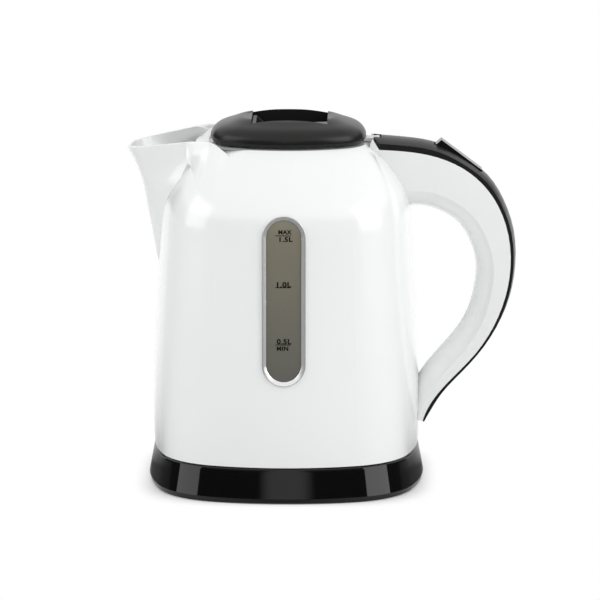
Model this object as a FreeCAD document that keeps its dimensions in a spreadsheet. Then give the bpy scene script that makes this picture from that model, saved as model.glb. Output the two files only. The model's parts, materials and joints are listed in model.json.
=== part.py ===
"""Electric jug kettle: a moulded jug with a looped handle, a hinged lid and a round-connector base.

Frame: millimetres, +Z up. The origin is on the table, under the middle of the base.
The spout points along -X, the handle along +X, the water gauge faces -Y and the mains lead
would leave the base along +Y.

Every driving size is a cell of the sheet "Sizes". A Size carries a number together with the
expression that gives it, so a sketch or a primitive is drawn at the number and bound to the sheet.
"""
import FreeCAD, Part
import math
import os
import Sketcher
from FreeCAD import Placement, Rotation, Vector

X_AXIS = Vector(1, 0, 0)
Y_AXIS = Vector(0, 1, 0)
Z_AXIS = Vector(0, 0, 1)

# Driving sizes in millimetres, unless the name says otherwise.
SIZES = [
    # rounded-square plan shared by the base, the jug and the lid
    ("side_bulge", 0.78),        # centre of a side's arc behind the middle, per half width
    ("corner_round", 0.584),     # corner radius per half width
    # base
    ("base_half", 77.0),
    ("base_top_half", 74.2),
    ("base_height", 19.5),
    ("base_wall", 2.6),
    ("base_lift", 0.5),          # skirt's lower edge above the table
    ("base_edge", 1.6),
    ("foot_radius", 56.0),
    ("foot_width", 6.0),
    ("plate_thick", 2.0),
    ("tower_radius", 16.0),
    ("tower_height", 7.5),
    ("gland_radius", 5.6),
    ("cord_radius", 3.5),
    ("gland_height", 10.0),
    # jug
    ("jug_gap", 0.4),            # jug's rim above the deck
    ("jug_half", 74.2),
    ("jug_height", 170.0),
    ("jug_taper", 4.4),          # inset of the wall where the shoulder starts
    ("shoulder_drop", 40.0),
    ("collar_half", 45.0),
    ("mouth_half", 38.0),
    ("jug_wall", 2.5),
    ("floor_height", 58.0),      # top of the chamber floor above the table
    ("floor_thick", 3.0),
    ("heater_radius", 57.0),
    ("socket_radius", 17.0),
    # spout
    ("spout_wall", 2.3),
    ("spout_tip_drop", 4.0),     # tip of the mouth below the collar
    ("mouth_slope", 9.3),        # degrees, rim of the spout rising towards the lid
    ("lip_dip", 1.4),            # how far the pouring lip dips below that slope
    # window
    ("window_half", 12.0),
    ("window_low", 65.6),
    ("window_high", 159.1),
    ("window_rim", 2.5),
    ("window_proud", 1.1),
    ("pane_fit", 0.15),
    # lid
    ("lid_half", 43.2),
    ("lid_shift", 1.2),          # the lid's middle stands this far towards the handle
    ("lid_narrow", 6.7),         # the lid's half width along Y is this much less than along X
    ("lid_gap", 0.8),
    ("lid_side", 3.0),           # height of the lid's widest line above its edge
    ("lid_rise", 10.4),
    ("lid_flat", 17.0),
    ("lid_wall", 2.4),
    ("plug_half", 35.0),
    ("plug_depth", 7.0),
    ("pocket_front", 19.0),
    ("pocket_back", 23.0),
    ("pocket_width", 43.0),
    ("pocket_depth", 8.5),
    ("boss_radius", 3.0),
    ("catch_width", 9.0),
    ("tab_width", 32.0),
    ("hinge_reach", 50.8),
    ("hinge_radius", 1.6),
    ("pin_radius", 0.8),
    ("pin_fit", 0.05),
    # handle
    ("handle_reach", 51.0),      # furthest point of the handle line beyond the jug's side
    ("handle_width", 27.0),
    ("handle_wall", 3.0),
    ("handle_round", 10.0),      # rise of the rounded inner face
    # switch
    ("rocker_width", 10.0),
    ("rocker_fit", 0.5),
    ("rocker_pin_radius", 1.3),
    ("screw_radius", 1.5),
]

doc = FreeCAD.newDocument("Kettle")
sheet = doc.addObject("Spreadsheet::Sheet", "Sizes")
for row, (word, number) in enumerate(SIZES, start=1):
    sheet.set("A%d" % row, word)
    sheet.set("B%d" % row, str(number))
    sheet.setAlias("B%d" % row, word)
doc.recompute()


class Size:
    """A number and the sheet expression that yields it."""

    def __init__(self, value, text):
        self.value = value
        self.text = text

    @staticmethod
    def of(thing):
        if isinstance(thing, Size):
            return thing
        return Size(float(thing), "%.6g" % thing)

    def joined(self, other, sign, value):
        return Size(value, "(%s %s %s)" % (self.text, sign, Size.of(other).text))

    def __add__(self, other):
        return self.joined(other, "+", self.value + Size.of(other).value)

    def __sub__(self, other):
        return self.joined(other, "-", self.value - Size.of(other).value)

    def __mul__(self, other):
        return self.joined(other, "*", self.value * Size.of(other).value)

    def __truediv__(self, other):
        return self.joined(other, "/", self.value / Size.of(other).value)

    def __neg__(self):
        return Size(-self.value, "(-1 * %s)" % self.text)

    __radd__ = __add__
    __rmul__ = __mul__

    def __rsub__(self, other):
        return Size.of(other) - self

    def __float__(self):
        return self.value


class Sizes:
    """The sheet's cells by name."""

    def __getattr__(self, word):
        return Size(float(sheet.get(word)), "Sizes." + word)


s = Sizes()
nodes = []


def keep(thing):
    """Marks an object as a sub-part that is written out under its label."""
    nodes.append(thing)
    return thing


def bind(thing, prop, size):
    """Ties a property to the sheet."""
    thing.setExpression(prop, Size.of(size).text)


# ---------------------------------------------------------------- sketches and features

def new_body(label):
    made = doc.addObject("PartDesign::Body", label)
    made.Label = label
    return made


def sketch_on(body, role, height=None):
    """A sketch on one of the body's origin planes, lifted along the plane's normal."""
    origin_plane = next(f for f in body.Origin.OriginFeatures if f.Role == role)
    made = body.newObject("Sketcher::SketchObject", body.Label + "_sketch")
    made.AttachmentSupport = [(origin_plane, "")]
    made.MapMode = "FlatFace"
    if height is not None:
        bind(made, "AttachmentOffset.Base.z", height)
    return made


def driven(sketch, constraint, size):
    index = sketch.addConstraint(constraint)
    sketch.setExpression("Constraints[%d]" % index, Size.of(size).text)


def place_point(sketch, geometry, point, x, y):
    """Fixes one point of a sketch element at x, y from the sketch's origin."""
    for kind, size in (("DistanceX", x), ("DistanceY", y)):
        constraint = Sketcher.Constraint(kind, -1, 1, geometry, point, Size.of(size).value)
        driven(sketch, constraint, size)


def polygon(sketch, corners):
    """A closed outline of straight lines, each corner bound to the sheet."""
    spots = [Vector(float(x), float(y), 0) for x, y in corners]
    first = sketch.GeometryCount
    count = len(spots)
    for i in range(count):
        sketch.addGeometry(Part.LineSegment(spots[i], spots[(i + 1) % count]))
    for i in range(count):
        following = first + (i + 1) % count
        sketch.addConstraint(Sketcher.Constraint("Coincident", first + i, 2, following, 1))
        place_point(sketch, first + i, 1, *corners[i])


def circle(sketch, x, y, radius):
    centre = Vector(float(x), float(y), 0)
    index = sketch.addGeometry(Part.Circle(centre, Z_AXIS, float(radius)))
    place_point(sketch, index, 3, x, y)
    driven(sketch, Sketcher.Constraint("Radius", index, float(radius)), radius)


def stadium(sketch, half, low, high):
    """An upright slot with round ends, centred on the sketch's vertical axis."""
    r, bottom, top = float(half), float(low) + float(half), float(high) - float(half)
    sketch.addGeometry(Part.ArcOfCircle(Part.Circle(Vector(0, top, 0), Z_AXIS, r), 0, math.pi))
    sketch.addGeometry(Part.LineSegment(Vector(-r, top, 0), Vector(-r, bottom, 0)))
    lower = Part.Circle(Vector(0, bottom, 0), Z_AXIS, r)
    sketch.addGeometry(Part.ArcOfCircle(lower, math.pi, 2 * math.pi))
    sketch.addGeometry(Part.LineSegment(Vector(r, bottom, 0), Vector(r, top, 0)))
    for i in range(4):
        sketch.addConstraint(Sketcher.Constraint("Tangent", i, 2, (i + 1) % 4, 1))
    for arc, height in ((0, Size.of(high) - half), (2, Size.of(low) + half)):
        sketch.addConstraint(Sketcher.Constraint("PointOnObject", arc, 3, -2))
        driven(sketch, Sketcher.Constraint("DistanceY", -1, 1, arc, 3, float(height)), height)
    sketch.addConstraint(Sketcher.Constraint("Equal", 0, 2))
    driven(sketch, Sketcher.Constraint("Radius", 0, r), half)


def rounded_square(sketch, half, narrow=0):
    """Four long side arcs joined by four corner arcs, all tangent; narrow is taken off along Y."""
    half = Size.of(half)
    deep = half - narrow
    behind_x, behind_y = half * s.side_bulge, deep * s.side_bulge
    side_x, side_y, corner = half + behind_x, deep + behind_y, deep * s.corner_round
    bx, by, rx, ry, small = (float(v) for v in (behind_x, behind_y, side_x, side_y, corner))
    # A corner's centre lies rx - small from one side's centre and ry - small from its neighbour's.
    apart = math.hypot(bx, by)
    along = ((rx - small) ** 2 - (ry - small) ** 2 + apart ** 2) / (2 * apart)
    across = math.sqrt((rx - small) ** 2 - along ** 2)
    cx = (along * bx + across * by) / apart - bx
    cy = (across * bx - along * by) / apart
    first, second = math.atan2(cy, cx + bx), math.atan2(cy + by, cx)
    arcs = [(-bx, 0, rx, -first, first), (cx, cy, small, first, second),
            (0, -by, ry, second, math.pi - second), (-cx, cy, small, math.pi - second, math.pi - first)]
    for x, y, radius, start, end in arcs:
        sketch.addGeometry(Part.ArcOfCircle(Part.Circle(Vector(x, y, 0), Z_AXIS, radius), start, end))
    for x, y, radius, start, end in arcs:
        opposite = Part.Circle(Vector(-x, -y, 0), Z_AXIS, radius)
        sketch.addGeometry(Part.ArcOfCircle(opposite, start + math.pi, end + math.pi))
    for i in range(8):
        sketch.addConstraint(Sketcher.Constraint("Tangent", i, 2, (i + 1) % 8, 1))
    for i, twin in ((0, 4), (2, 6), (1, 3), (1, 5), (1, 7)):
        sketch.addConstraint(Sketcher.Constraint("Equal", i, twin))
    for arc, radius in ((0, side_x), (1, corner), (2, side_y)):
        driven(sketch, Sketcher.Constraint("Radius", arc, float(radius)), radius)
    for arc, kind, offset in ((0, "DistanceX", -behind_x), (2, "DistanceY", -behind_y),
                              (4, "DistanceX", behind_x), (6, "DistanceY", behind_y)):
        axis = -1 if kind == "DistanceX" else -2
        sketch.addConstraint(Sketcher.Constraint("PointOnObject", arc, 3, axis))
        driven(sketch, Sketcher.Constraint(kind, -1, 1, arc, 3, float(offset)), offset)


def pad(body, sketch, length, midplane=False, down=False):
    made = body.newObject("PartDesign::Pad", body.Label + "_pad")
    made.Profile = sketch
    bind(made, "Length", length)
    made.Midplane = midplane
    made.Reversed = down
    return made


def pocket(body, sketch, length, midplane=False, up=False):
    made = body.newObject("PartDesign::Pocket", body.Label + "_pocket")
    made.Profile = sketch
    bind(made, "Length", length)
    made.Midplane = midplane
    made.Reversed = up
    return made


def revolve(body, sketch, degrees=360):
    made = body.newObject("PartDesign::Revolution", body.Label + "_revolution")
    made.Profile = sketch
    made.ReferenceAxis = (sketch, ["V_Axis"])
    made.Angle = degrees
    return made


def loft(body, sketches, ruled=False):
    made = body.newObject("PartDesign::AdditiveLoft", body.Label + "_loft")
    made.Profile = sketches[0]
    made.Sections = sketches[1:]
    made.Ruled = ruled
    return made


def square_loft(label, levels, ruled=False, body=None, shift=0):
    """A loft through rounded squares (height, half width[, narrowing]), in the body if one is given."""
    body = body or new_body(label)
    bind(body, "Placement.Base.x", shift)
    sketches = []
    for height, half, *narrow in levels:
        sketch = sketch_on(body, "XY_Plane", height)
        rounded_square(sketch, half, *narrow)
        sketches.append(sketch)
    loft(body, sketches, ruled)
    return body


def rounded_brim(height, half, radius):
    """Levels of a quarter-round edge whose top is at the height."""
    levels = []
    for degrees in (0, 30, 60, 90):
        angle = math.radians(degrees)
        levels.append((Size.of(height) - radius * (1 - math.sin(angle)),
                       Size.of(half) - radius * (1 - math.cos(angle))))
    return levels


def square_prism(label, half, low, high, shift=0, narrow=0):
    body = new_body(label)
    bind(body, "Placement.Base.x", shift)
    sketch = sketch_on(body, "XY_Plane", low)
    rounded_square(sketch, half, narrow)
    pad(body, sketch, Size.of(high) - low)
    return body


def turned_piece(label, profile, degrees=360):
    """A piece revolved about its own Z axis from corners (radius, height)."""
    body = new_body(label)
    sketch = sketch_on(body, "XZ_Plane")
    polygon(sketch, profile)
    revolve(body, sketch, degrees)
    return body


def side_profile(label, corners, width):
    """A piece padded both ways along Y from corners (x, z)."""
    body = new_body(label)
    sketch = sketch_on(body, "XZ_Plane")
    polygon(sketch, corners)
    pad(body, sketch, width, midplane=True)
    return body


# ---------------------------------------------------------------- primitives and booleans

def box(label, x_range, y_range, z_range):
    made = doc.addObject("Part::Box", label)
    made.Label = label
    spans = ((x_range, "Length", "x"), (y_range, "Width", "y"), (z_range, "Height", "z"))
    for (low, high), prop, axis in spans:
        bind(made, prop, Size.of(high) - low)
        bind(made, "Placement.Base." + axis, low)
    return made


def cylinder(label, radius, length, base, direction=Z_AXIS):
    """A round bar from the point base along direction."""
    made = doc.addObject("Part::Cylinder", label)
    made.Label = label
    made.Placement = Placement(Vector(*[float(v) for v in base]), Rotation(Z_AXIS, direction))
    bind(made, "Radius", radius)
    bind(made, "Height", length)
    for axis, size in zip("xyz", base):
        bind(made, "Placement.Base." + axis, size)
    return made


def fused(label, pieces):
    made = doc.addObject("Part::MultiFuse", label)
    made.Label = label
    made.Shapes = pieces
    return made


def cut(label, base, *tools):
    """base less all the tools."""
    made = doc.addObject("Part::Cut", label)
    made.Base = base
    made.Tool = tools[0] if len(tools) == 1 else fused(label + "_tools", list(tools))
    made.Label = label
    return made


def common(label, pieces):
    made = doc.addObject("Part::MultiCommon", label)
    made.Label = label
    made.Shapes = pieces
    return made


def feature(label, shape):
    made = doc.addObject("Part::Feature", label)
    made.Label = label
    made.Shape = shape
    return made


def copies(label, source, placements):
    """Identical fasteners as one group of separate solids."""
    doc.recompute()
    solids = []
    for placement in placements:
        solid = source.Shape.copy()
        solid.Placement = placement.multiply(solid.Placement)
        solids.append(solid)
    return feature(label, Part.makeCompound(solids))


def round_wire_path(points, bend):
    """A path of straight runs joined by tangent arcs of one radius."""
    edges = []
    start = points[0]
    for before, corner, after in zip(points, points[1:], points[2:]):
        incoming = (corner - before).normalize()
        outgoing = (after - corner).normalize()
        turn = incoming.getAngle(outgoing)
        reach = bend * math.tan(turn / 2)
        arc_start = corner - incoming * reach
        arc_end = corner + outgoing * reach
        inward = (outgoing - incoming).normalize()
        middle = corner + inward * (bend / math.cos(turn / 2) - bend)
        edges.append(Part.LineSegment(start, arc_start).toShape())
        edges.append(Part.Arc(arc_start, middle, arc_end).toShape())
        start = arc_end
    edges.append(Part.LineSegment(start, points[-1]).toShape())
    return Part.Wire(edges)


def tube_along(points, bend, radius, bore=None):
    """A rod, or a tube if it has a bore, along a path of runs and arcs."""
    path = round_wire_path(points, bend)
    heading = (points[1] - points[0]).normalize()

    def rod(r):
        ring = Part.Wire(Part.makeCircle(r, points[0], heading))
        return path.makePipeShell([ring], True, False)

    solid = rod(radius)
    if bore is not None:
        solid = solid.cut(rod(bore))
    return solid


# ---------------------------------------------------------------- heights shared by the pieces

jug_low = s.base_height + s.jug_gap
collar_top = jug_low + s.jug_height
shoulder_low = collar_top - s.shoulder_drop
floor_low = s.floor_height - s.floor_thick
shoulder_half = s.jug_half - s.jug_taper
lid_low = collar_top + s.lid_gap


# The wall below the shoulder: share of its height and share of the taper reached there.
WALL = [(0.0, 0.1), (0.3, 0.0), (0.63, 0.45), (0.92, 0.91)]
# The shoulder: share of its drop below the collar and how far it still stands out beyond it.
SHOULDER = [(1.0, 1.0), (0.8, 0.955), (0.55, 0.79), (0.33, 0.56), (0.15, 0.3), (0.0, 0.0)]


def jug_form(label, inset):
    """The jug's outline, inset from the outside: a tapered wall loft under a domed shoulder loft."""
    straight = shoulder_low - jug_low
    wall = [(jug_low + straight * share, s.jug_half - s.jug_taper * taper - inset)
            for share, taper in WALL]
    fall = shoulder_half - s.collar_half
    shoulder = [(collar_top - s.shoulder_drop * drop, s.collar_half + fall * spread - inset,
                 s.lid_narrow * (1 - spread)) for drop, spread in SHOULDER]
    body = square_loft(label, wall)
    return square_loft(label, wall[-1:] + shoulder, body=body)


# ---------------------------------------------------------------- base

def make_base():
    """Skirted shell with a flat deck, its closing plate, feet, connector and mains inlet."""
    skirt_low = s.base_lift
    wide = s.base_lift + 2.6
    skirt = [(skirt_low, s.base_half - 0.7), (wide, s.base_half)]
    outer = square_loft("base_outer", skirt + rounded_brim(s.base_height, s.base_top_half, s.base_edge),
                        ruled=True)
    inner_top = s.base_height - s.base_wall
    inner_half = s.base_half - s.base_wall
    inner = square_loft("base_inner", [(skirt_low - 1, inner_half), (wide, inner_half),
                                       (inner_top, s.base_top_half - s.base_wall)], ruled=True)
    tower_hole = cylinder("tower_hole", s.tower_radius - 1.5, 10, (0, 0, inner_top - 3))
    gland_y = s.base_half - 9
    gland_hole = cylinder("gland_hole", s.gland_radius, 12, (0, gland_y, s.gland_height), Y_AXIS)
    plate_low = s.base_lift + 0.4
    post_low = plate_low + s.plate_thick + 0.1
    screw_ring = s.foot_radius + 7
    posts = []
    post_holes = []
    for spot in around(screw_ring, 4, 45):
        posts.append(cylinder("base_post", 3.6, inner_top + 0.5 - post_low, spot + (post_low,)))
        post_holes.append(cylinder("base_post_hole", s.screw_radius, 12, spot + (post_low - 1,)))
    hollow_shell = cut("base_hollow", outer, inner, tower_hole, gland_hole)
    keep(cut("base_shell", fused("base_with_posts", [hollow_shell] + posts), *post_holes))

    plate_half = inner_half - 0.4
    plate = square_prism("plate_blank", plate_half, plate_low, plate_low + s.plate_thick)
    foot_inner = s.foot_radius - s.foot_width
    groove = turned_piece("foot_groove", [(foot_inner - 0.1, plate_low - 1), (s.foot_radius + 0.1, plate_low - 1),
                                          (s.foot_radius + 0.1, plate_low + 1.0),
                                          (foot_inner - 0.1, plate_low + 1.0)])
    holes = [cylinder("plate_hole", s.screw_radius + 0.2, 10, spot + (plate_low - 1,))
             for spot in around(screw_ring, 4, 45)]
    holes += [cylinder("head_recess", s.screw_radius * 1.9 + 0.3, 2.2, spot + (plate_low - 1,))
              for spot in around(screw_ring, 4, 45)]
    keep(cut("base_plate", plate, groove, *holes))
    keep(turned_piece("foot_ring", [(foot_inner, 0), (s.foot_radius, 0),
                                    (s.foot_radius, plate_low + 1.0), (foot_inner, plate_low + 1.0)]))

    deck = s.base_height
    tower_top = deck + s.tower_height
    r = s.tower_radius
    tower = turned_piece("tower_blank", [
        (0, inner_top - 6), (r - 1.6, inner_top - 6), (r - 1.6, deck), (r, deck), (r, tower_top - 1.5),
        (r - 1.5, tower_top), (9, tower_top), (9, tower_top - 6), (7, tower_top - 6), (7, tower_top),
        (3.4, tower_top), (3.4, inner_top - 3), (0, inner_top - 3)])
    keep(tower)
    tower.Label = "base_connector"
    pin = cylinder("contact_pin", 1.6, s.tower_height + 3, (0, 0, inner_top - 3))
    ring = turned_piece("contact_ring", [(7.0, tower_top - 6), (7.7, tower_top - 6),
                                         (7.7, tower_top - 1), (7.0, tower_top - 1)])
    doc.recompute()
    keep(feature("base_contacts", Part.makeCompound([pin.Shape, ring.Shape])))

    gland_low = s.base_half - 11
    collar = cylinder("gland_body", s.gland_radius - 0.05, 12.5, (0, gland_low, s.gland_height), Y_AXIS)
    flange = cylinder("gland_flange", s.gland_radius + 0.9, 2, (0, gland_low, s.gland_height), Y_AXIS)
    bore = cylinder("gland_bore", s.cord_radius, 20, (0, gland_low - 3, s.gland_height), Y_AXIS)
    keep(cut("cord_gland", fused("gland_blank", [collar, flange]), bore))

    block_low = plate_low + s.plate_thick
    keep(box("terminal_block", (-11, 11), (44, 54), (block_low, block_low + 9)))
    wires = []
    for side in (-6, 0, 6):
        points = [Vector(side, 44, float(block_low) + 5), Vector(side, 30, float(block_low) + 5),
                  Vector(side * 0.6, 16, float(inner_top) - 7.5), Vector(side * 0.6, 6, float(inner_top) - 7.5)]
        wires.append(tube_along(points, 6, 1.2))
    keep(feature("base_wires", Part.makeCompound(wires)))
    base_screw = screw("base_screw", s.screw_radius, 9)
    keep(copies("base_screws", base_screw,
                [Placement(Vector(float(x), float(y), float(plate_low)), Rotation())
                 for x, y in around(screw_ring, 4, 45)]))


def around(radius, count, first):
    """Points spaced evenly on a circle, as (x, y) sizes."""
    spots = []
    for i in range(count):
        angle = math.radians(first + 360 * i / count)
        spots.append((Size.of(radius) * math.cos(angle), Size.of(radius) * math.sin(angle)))
    return spots


def screw(label, radius, length):
    """A pan-head screw standing head down on its head's face."""
    head = Size.of(radius) * 1.9
    return turned_piece(label, [(0, 0), (head, 0), (head, 0.3), (radius, 1.2), (radius, length),
                                (0, Size.of(length) + 0.8)])


# ---------------------------------------------------------------- jug

# Spout sections: height below the collar, reach of the keel beyond the jug's side, half width
# where the beak meets the jug, how far behind the keel that is, and the keel's radius.
SPOUT = [
    (74.0, -4.4, 8.0, 8.0, 5.0),
    (62.0, -1.4, 16.0, 8.0, 8.0),
    (49.0, 0.9, 24.0, 10.0, 10.5),
    (35.0, 3.6, 28.0, 14.0, 13.0),
    (20.0, 6.8, 28.5, 22.0, 16.0),
    (4.0, 14.2, 29.5, 36.0, 19.5),
    (-7.0, 20.0, 30.0, 43.0, 21.5),
]
SPOUT_ROOT = 36.0


def spout_loft(label, inset):
    """The beak as a loft of flat-sided sections with a round keel."""
    body = new_body(label)
    sketches = []
    inset = Size.of(inset)
    for drop, reach, half, behind, keel in SPOUT:
        sketch = sketch_on(body, "XY_Plane", collar_top - drop)
        tip = -(s.jug_half + reach - inset)
        spout_section(sketch, tip, half - inset, tip + behind, keel - inset * 0.8)
        sketches.append(sketch)
    loft(body, sketches)
    return body


def spout_section(sketch, tip, half, wall_x, radius):
    """Round keel at the tip, straight sides out to the jug's wall, closed inside the jug."""
    root = -Size.of(SPOUT_ROOT)
    t, h, w, r, b = (float(v) for v in (tip, half, wall_x, radius, root))
    centre = t + r
    reach = math.hypot(w - centre, h)
    bearing = math.atan2(h, w - centre)
    side = bearing + math.acos(r / reach)
    touch = Vector(centre + r * math.cos(side), r * math.sin(side), 0)
    lower_touch = Vector(touch.x, -touch.y, 0)
    keel = Part.Circle(Vector(centre, 0, 0), Z_AXIS, r)
    sketch.addGeometry(Part.ArcOfCircle(keel, side, 2 * math.pi - side))
    outline = [lower_touch, Vector(w, -h, 0), Vector(b, -h, 0), Vector(b, h, 0), Vector(w, h, 0), touch]
    for start, end in zip(outline, outline[1:]):
        sketch.addGeometry(Part.LineSegment(start, end))
    sketch.addConstraint(Sketcher.Constraint("Tangent", 0, 2, 1, 1))
    sketch.addConstraint(Sketcher.Constraint("Tangent", 5, 2, 0, 1))
    for i in range(1, 5):
        sketch.addConstraint(Sketcher.Constraint("Coincident", i, 2, i + 1, 1))
    corners = ((wall_x, -Size.of(half)), (root, -Size.of(half)), (root, half), (wall_x, half))
    for i, (x, y) in enumerate(corners, start=2):
        place_point(sketch, i, 1, x, y)
    place_point(sketch, 0, 3, Size.of(tip) + radius, 0)
    driven(sketch, Sketcher.Constraint("Radius", 0, r), radius)


def make_jug():
    """White shell with the chamber, the beak, the collar, the gauge slot and the floor."""
    outer = jug_form("jug_outer", 0)
    beak = spout_loft("beak_outer", 0)
    beak_cavity = spout_loft("beak_inner", s.spout_wall)
    trimmed_beak = cut("beak_trimmed", beak, *mouth_cutters())
    body = fused("jug_solid", [outer, trimmed_beak])

    wide = s.jug_half * 1.5
    storey = box("storey", (-wide, wide), (-wide, wide), (s.floor_height, collar_top - s.jug_wall - 0.5))
    chamber = common("chamber", [jug_form("jug_inner", s.jug_wall), storey])
    mouth = square_prism("mouth_hole", s.mouth_half, collar_top - 8, collar_top + 5,
                         shift=s.lid_shift, narrow=s.lid_narrow)
    cellar = square_prism("cellar", s.jug_half - s.jug_wall - 0.4, jug_low - 1, floor_low)
    floor_hole = cylinder("floor_hole", s.heater_radius, 10, (0, 0, floor_low - 2))
    bridge = square_prism("collar_core", s.collar_half + 0.6, collar_top - 6.5, collar_top + 5,
                          narrow=s.lid_narrow)
    beak_open = cut("beak_open", beak_cavity, bridge)
    slot = window_prism("gauge_slot", s.window_half - s.window_rim + 0.9, 0.9)
    lower_port = cylinder("wire_port", 4.0, 20, (s.jug_half - 10, 0, port_height()), X_AXIS)
    steam_port = cylinder("steam_port", 3.3, 25, (s.collar_half + 5, 0, steam_height()), X_AXIS)
    keep(cut("jug_shell", body, chamber, mouth, cellar, floor_hole, beak_open, slot, lower_port, steam_port))


def mouth_cutters():
    """What is above the beak's rim: a rising plane, the dipped lip, a fall behind it and the lid."""
    tip_x = -(float(s.jug_half) + 14.2)
    tip_z = float(collar_top - s.spout_tip_drop)
    dip = float(s.lip_dip)
    slope = float(s.mouth_slope)
    above = Part.makeBox(90, 120, 40, Vector(-5, -60, 0))
    above.Placement = Placement(Vector(tip_x, 0, tip_z + dip), Rotation(Y_AXIS, -slope))
    lip_radius = 70
    lip = Part.makeCylinder(lip_radius, 18, Vector(-6, 0, lip_radius), X_AXIS)
    lip.Placement = Placement(Vector(tip_x, 0, tip_z), Rotation(Y_AXIS, -23))
    crest_x = -51.0
    crest_z = tip_z + dip + (crest_x - tip_x) * math.tan(math.radians(slope))
    behind = Part.makeBox(60, 120, 40, Vector(0, -60, 0))
    behind.Placement = Placement(Vector(crest_x, 0, crest_z), Rotation(Y_AXIS, 13))
    lid_room = square_prism("lid_room", s.lid_half + 0.8, collar_top, collar_top + 40,
                            shift=s.lid_shift, narrow=s.lid_narrow)
    return [feature("mouth_plane", above), feature("lip_dip", lip), feature("mouth_fall", behind), lid_room]


def port_height():
    return jug_low + 27


def steam_height():
    return collar_top - 21


def window_prism(label, half, grow):
    """A slot-shaped bar through the front wall, grown from the gauge's inner outline."""
    body = new_body(label)
    sketch = sketch_on(body, "XZ_Plane", s.jug_half - 14)
    inner_low = s.window_low + s.window_rim - grow
    inner_high = s.window_high - s.window_rim + grow
    stadium(sketch, half, inner_low, inner_high)
    pad(body, sketch, 20)
    return body


def wall_skin(label, outward, inward):
    """The part of the jug's wall from outward outside to inward inside its surface."""
    outside = jug_form(label + "_outside", -Size.of(outward))
    inside = jug_form(label + "_inside", inward)
    return cut(label, outside, inside)


def make_gauge():
    """Bright frame, pane and seal, all following the curved front wall."""
    inner_half = s.window_half - s.window_rim
    frame_bar = window_prism("frame_bar", s.window_half, s.window_rim)
    frame_hole = window_prism("frame_hole", inner_half, 0)
    proud_skin = wall_skin("proud_skin", s.window_proud, 0.0)
    lip_bar = window_prism("lip_bar", inner_half + 0.8, 0.8)
    lip_skin = wall_skin("lip_skin", 0.0, s.jug_wall)
    rim = common("frame_rim", [cut("rim_bar", frame_bar, frame_hole), proud_skin])
    lip = common("frame_lip", [cut("lip_ring", lip_bar, frame_hole), lip_skin])
    keep(fused("window_frame", [rim, lip]))
    pane_bar = window_prism("pane_bar", inner_half - s.pane_fit, -s.pane_fit)
    pane_skin = wall_skin("pane_skin", -0.4, 2.3)
    keep(common("window_pane", [pane_bar, pane_skin]))
    seal_bar = window_prism("seal_bar", inner_half + 3.0, 3.0)
    seal_hole = window_prism("seal_hole", inner_half - 1.2, -1.2)
    seal_skin = wall_skin("seal_skin", -(s.jug_wall + 0.35), s.jug_wall + 1.6)
    keep(common("window_seal", [cut("seal_ring", seal_bar, seal_hole), seal_skin]))


def make_heater():
    """Concealed element under a steel floor plate, with the connector's jug half below it."""
    r = s.heater_radius
    plate_low = floor_low - 1.6
    keep(turned_piece("heater_plate", [(0, plate_low + 0.4), (r - 4, plate_low + 0.4), (r + 4, plate_low - 0.8),
                                       (r + 4, plate_low + 0.2), (r - 4, plate_low + 1.4),
                                       (0, plate_low + 1.4)]))
    keep(turned_piece("heater_seal", [(r + 0.6, plate_low + 0.8), (r + 4, plate_low + 0.3),
                                      (r + 4, floor_low), (r + 0.6, floor_low)]))
    element = new_body("heater_element")
    sketch = sketch_on(element, "XZ_Plane")
    circle(sketch, r - 15, plate_low - 3.2, 3.4)
    revolve(element, sketch, 300)
    keep(element)

    plug_top = plate_low - 8
    sock = s.socket_radius
    cover_low = jug_low + 1.2
    keep(turned_piece("control_unit", [
        (0, cover_low + 11), (sock, cover_low + 11), (sock, cover_low), (sock + 3, cover_low),
        (sock + 3, cover_low + 12), (sock + 9, cover_low + 12), (sock + 9, plug_top), (0, plug_top)]))
    contact_top = cover_low + 11
    keep(turned_piece("control_contacts", [(2.0, contact_top - 5), (2.9, contact_top - 5),
                                           (2.9, contact_top), (2.0, contact_top)]))
    disc = cylinder("disc", 6, 0.8, (0, 0, plug_top))
    keep(copies("bimetal_discs", disc,
                [Placement(Vector(float(x), float(y), 0), Rotation()) for x, y in around(17, 3, 90)]))
    cover_half = s.jug_half - s.jug_wall - 0.8
    cover = square_prism("cover_plate", cover_half, cover_low, cover_low + 2)
    socket_hole = cylinder("socket_hole", s.socket_radius + 3.1, 10, (0, 0, cover_low - 2))
    ring = s.heater_radius - 2
    posts = []
    post_holes = []
    for x, y in around(ring, 3, 30):
        posts.append(cylinder("cover_post", 4, plate_low - cover_low - 3.5, (x, y, cover_low)))
        post_holes.append(cylinder("post_hole", s.screw_radius, 14, (x, y, cover_low - 1)))
    keep(cut("underside_cover", fused("cover_blank", [cover] + posts), socket_hole, *post_holes))
    cover_screw = screw("cover_screw", s.screw_radius - 0.03, 10)
    keep(copies("underside_screws", cover_screw,
                [Placement(Vector(float(x), float(y), float(cover_low) - 1.2), Rotation())
                 for x, y in around(ring, 3, 30)]))


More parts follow.
